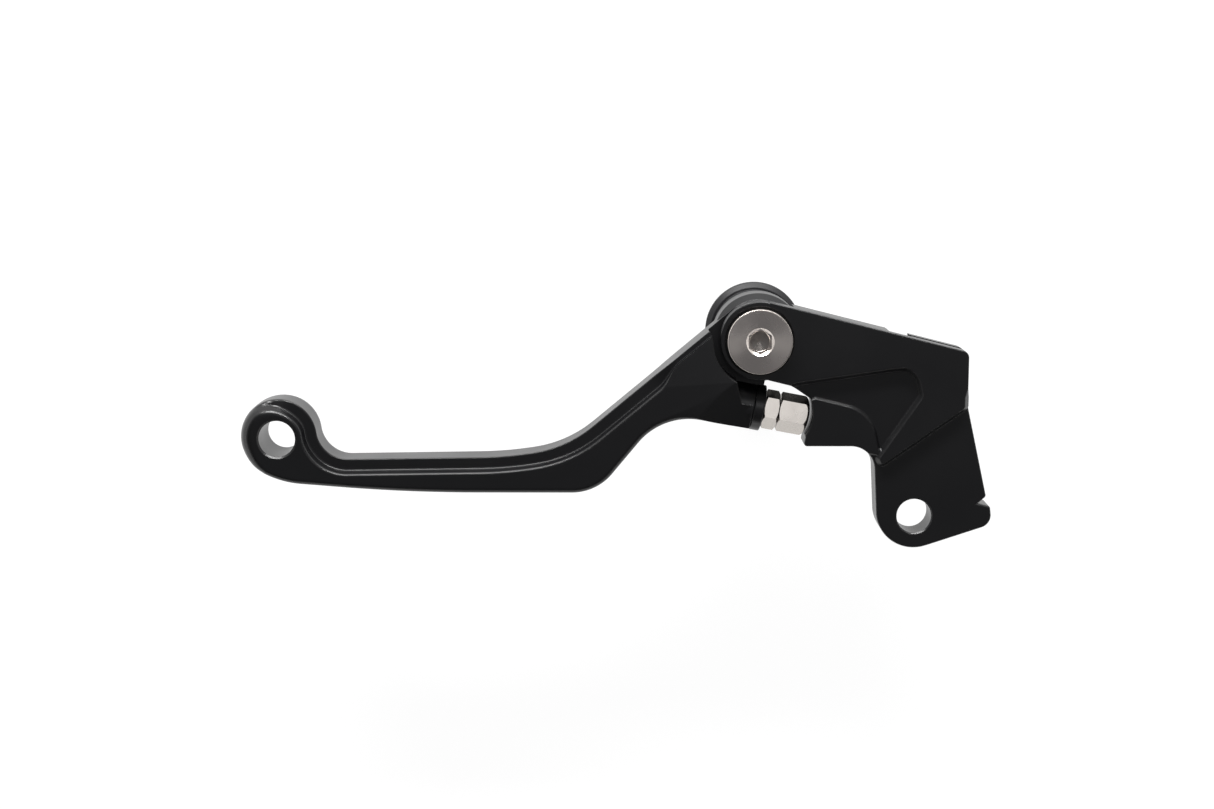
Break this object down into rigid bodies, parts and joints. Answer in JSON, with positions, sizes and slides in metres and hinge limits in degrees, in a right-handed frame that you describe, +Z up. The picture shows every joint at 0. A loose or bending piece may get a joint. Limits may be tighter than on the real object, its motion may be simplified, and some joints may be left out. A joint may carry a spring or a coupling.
{
  "type": "clutch lever",
  "caption": "Folding clutch lever for an off-road motorcycle: a black blade with a ball end pivots on a base arm, with a screw that sets its reach.",
  "frame": {"origin": "centre of the perch bore, halfway through the lever's thickness", "axes": "+X inboard along the lever towards the cable, +Y forward away from the handlebar, +Z up along the perch bore and the pivot bolt"},
  "size_m": [0.1736, 0.06, 0.0303],
  "materials": {
    "black_anodised": "satin black anodised forging",
    "cap_black": "turned and black anodised",
    "stainless": "turned stainless steel",
    "bronze": "sintered bronze",
    "spring_steel": "oiled spring wire",
    "seal_rubber": "matt nitrile",
    "nylon": "plain nylon"
  },
  "bodies": {
    "base": {"lever_base": "black_anodised", "pivot_bolt": "stainless", "front_thrust_washer": "bronze", "front_dust_seal": "seal_rubber", "spring_cap": "cap_black", "nut_washer": "stainless", "pivot_nut": "stainless", "nut_locking_ring": "nylon", "return_spring": "spring_steel"},
    "sleeve": {"pivot_bush": "bronze"},
    "blade": {"lever_blade": "black_anodised", "adjuster_lock_nut": "stainless", "rear_thrust_washer": "bronze"},
    "adjuster": {"adjuster_bolt": "stainless"}
  },
  "joints": [
    {"name": "reach_adjust", "type": "hinge", "parent": "base", "child": "sleeve", "pos_m": [-0.0363, 0.041, 0], "axis": [0, 0, -1], "range_deg": [0, 5.01]},
    {"name": "blade_fold", "type": "hinge", "parent": "sleeve", "child": "blade", "pos_m": [-0.0363, 0.041, 0], "axis": [0, 0, -1], "range_deg": [0, 75], "stiffness_Nm_per_rad": 0.15, "springref_deg": -34.38, "deforming": ["return_spring"]},
    {"name": "adjuster_travel", "type": "slide", "parent": "blade", "child": "adjuster", "axis": [0.9828, -0.1848, 0], "range_m": [0, 0.00138]}
  ],
  "couplings": [
    {"joint": "reach_adjust", "follows": "adjuster_travel", "rad_per_m": 63.29}
  ]
}
